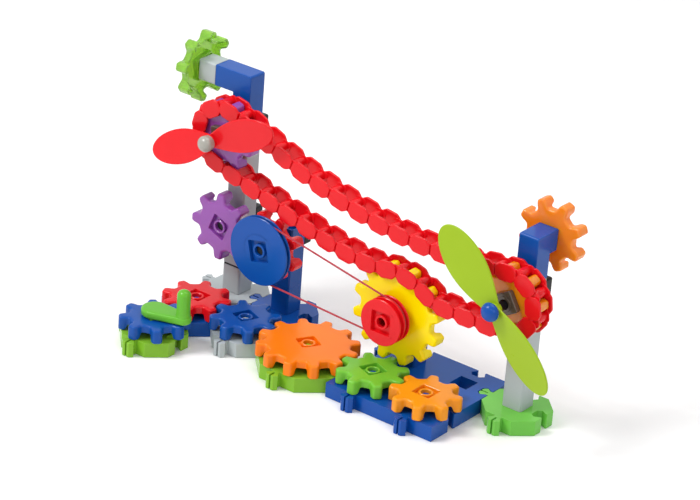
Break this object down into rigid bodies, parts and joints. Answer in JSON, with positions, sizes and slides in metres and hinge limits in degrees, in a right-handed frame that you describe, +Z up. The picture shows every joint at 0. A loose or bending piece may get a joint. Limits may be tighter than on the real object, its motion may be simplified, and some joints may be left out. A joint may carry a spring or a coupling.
{
  "type": "hand cranked gear toy",
  "caption": "Crank-driven building toy: flat gears on clip-together plates drive an upright gear, a link chain and a band that turn propellers.",
  "frame": {"origin": "on the table under the middle of the square plate", "axes": "+X along the gear row from the crank's side to the right tower, +Y from the front to the back, +Z up"},
  "size_m": [0.4186, 0.1756, 0.237],
  "materials": {
    "lime_plastic": "glossy moulded ABS, lime green",
    "leaf_green_plastic": "glossy moulded ABS, mid green",
    "pale_green_plastic": "glossy moulded ABS, pale green",
    "blue_plastic": "glossy moulded ABS, royal blue",
    "grey_plastic": "satin moulded ABS, light grey",
    "black_plastic": "satin moulded ABS, black",
    "red_plastic": "glossy moulded ABS, red",
    "orange_plastic": "glossy moulded ABS, orange",
    "yellow_plastic": "glossy moulded ABS, yellow",
    "purple_plastic": "glossy tinted plastic, purple, slightly see-through",
    "smoke_plastic": "smoky see-through plastic",
    "silver_plastic": "silver-grey painted plastic",
    "band_rubber": "thin red elastic band"
  },
  "bodies": {
    "stand": {"blue_gear_base": "grey_plastic", "chain_left_wrap": "red_plastic", "chain_lower_left_run": "red_plastic", "chain_lower_right_run": "red_plastic", "chain_over_yellow": "red_plastic", "chain_right_wrap": "red_plastic", "chain_upper_run": "red_plastic", "crank_gear_base": "lime_plastic", "elastic_band": "band_rubber", "large_gear_base": "lime_plastic", "left_adapter": "grey_plastic", "left_block": "grey_plastic", "left_collar": "black_plastic", "left_elbow": "blue_plastic", "left_lower_hub": "grey_plastic", "left_lower_pillar": "grey_plastic", "left_tower_base": "grey_plastic", "left_upper_hub": "grey_plastic", "left_upper_pillar": "grey_plastic", "pulley_pillar_base": "blue_plastic", "pulley_pillar_block": "blue_plastic", "pulley_pillar_hub": "blue_plastic", "red_gear_base": "blue_plastic", "right_block": "grey_plastic", "right_collar": "black_plastic", "right_elbow": "blue_plastic", "right_hub": "grey_plastic", "right_pillar": "grey_plastic", "right_tower_base": "pale_green_plastic", "square_plate": "blue_plastic", "yellow_hub": "blue_plastic", "yellow_pillar": "blue_plastic"},
    "crank_body": {"crank_gear": "blue_plastic", "crank_handle": "leaf_green_plastic"},
    "red_gear_body": {"red_gear": "red_plastic"},
    "blue_gear_body": {"blue_gear": "blue_plastic"},
    "large_gear_body": {"large_orange_gear": "orange_plastic"},
    "green_gear_body": {"green_gear": "leaf_green_plastic"},
    "small_orange_body": {"small_orange_gear": "orange_plastic"},
    "yellow_body": {"yellow_gear": "yellow_plastic", "yellow_axle": "black_plastic", "red_pulley": "red_plastic"},
    "pulley_body": {"hidden_red_gear": "red_plastic", "blue_pulley": "blue_plastic", "pulley_axle": "black_plastic"},
    "purple_body": {"purple_gear": "purple_plastic", "purple_axle": "black_plastic"},
    "left_sprocket_body": {"left_sprocket": "purple_plastic", "left_sprocket_axle": "black_plastic", "left_hub_adapter": "smoke_plastic", "red_propeller": "red_plastic", "left_nose": "silver_plastic"},
    "right_sprocket_body": {"right_sprocket": "orange_plastic", "right_sprocket_axle": "black_plastic", "right_hub_adapter": "smoke_plastic", "lime_propeller": "lime_plastic", "right_nose": "blue_plastic"},
    "lime_top_body": {"lime_top_gear": "lime_plastic"},
    "orange_top_body": {"orange_top_gear": "orange_plastic"}
  },
  "joints": [
    {"name": "crank", "type": "hinge", "parent": "stand", "child": "crank_body", "pos_m": [-0.216, -0.081, 0.0198], "axis": [0, 0, 1], "continuous": true, "deforming": ["chain_left_wrap", "chain_right_wrap", "chain_over_yellow"]},
    {"name": "red_gear_spin", "type": "hinge", "parent": "stand", "child": "red_gear_body", "pos_m": [-0.216, -0.027, 0.0198], "axis": [0, 0, 1], "continuous": true},
    {"name": "blue_gear_spin", "type": "hinge", "parent": "stand", "child": "blue_gear_body", "pos_m": [-0.162, -0.027, 0.0198], "axis": [0, 0, 1], "continuous": true},
    {"name": "large_gear_spin", "type": "hinge", "parent": "stand", "child": "large_gear_body", "pos_m": [-0.0945, -0.027, 0.0198], "axis": [0, 0, 1], "continuous": true},
    {"name": "green_gear_spin", "type": "hinge", "parent": "stand", "child": "green_gear_body", "pos_m": [-0.027, -0.027, 0.0198], "axis": [0, 0, 1], "continuous": true},
    {"name": "small_orange_spin", "type": "hinge", "parent": "stand", "child": "small_orange_body", "pos_m": [0.027, -0.027, 0.0198], "axis": [0, 0, 1], "continuous": true},
    {"name": "yellow_gear_spin", "type": "hinge", "parent": "stand", "child": "yellow_body", "pos_m": [-0.027, 0.027, 0.066], "axis": [0, 1, 0], "continuous": true},
    {"name": "pulley_spin", "type": "hinge", "parent": "stand", "child": "pulley_body", "pos_m": [-0.162, 0.027, 0.0815], "axis": [0, 1, 0], "continuous": true},
    {"name": "purple_gear_spin", "type": "hinge", "parent": "stand", "child": "purple_body", "pos_m": [-0.216, 0.027, 0.0815], "axis": [0, 1, 0], "continuous": true},
    {"name": "left_sprocket_spin", "type": "hinge", "parent": "stand", "child": "left_sprocket_body", "pos_m": [-0.216, 0.027, 0.1656], "axis": [0, 1, 0], "continuous": true},
    {"name": "right_sprocket_spin", "type": "hinge", "parent": "stand", "child": "right_sprocket_body", "pos_m": [0.081, 0.027, 0.117], "axis": [0, 1, 0], "continuous": true},
    {"name": "lime_top_spin", "type": "hinge", "parent": "stand", "child": "lime_top_body", "pos_m": [-0.266, 0.027, 0.2065], "axis": [1, 0, 0], "continuous": true},
    {"name": "orange_top_spin", "type": "hinge", "parent": "stand", "child": "orange_top_body", "pos_m": [0.081, 0.052, 0.1589], "axis": [0, 1, 0], "continuous": true}
  ],
  "couplings": [
    {"joint": "red_gear_spin", "follows": "crank", "ratio": -1},
    {"joint": "blue_gear_spin", "follows": "crank", "ratio": 1},
    {"joint": "large_gear_spin", "follows": "crank", "ratio": -0.66667},
    {"joint": "green_gear_spin", "follows": "crank", "ratio": 1},
    {"joint": "small_orange_spin", "follows": "crank", "ratio": -1},
    {"joint": "yellow_gear_spin", "follows": "crank", "ratio": 0.66667},
    {"joint": "pulley_spin", "follows": "crank", "ratio": 0.44444},
    {"joint": "purple_gear_spin", "follows": "crank", "ratio": -0.44444},
    {"joint": "left_sprocket_spin", "follows": "crank", "ratio": -1},
    {"joint": "right_sprocket_spin", "follows": "crank", "ratio": -1}
  ]
}
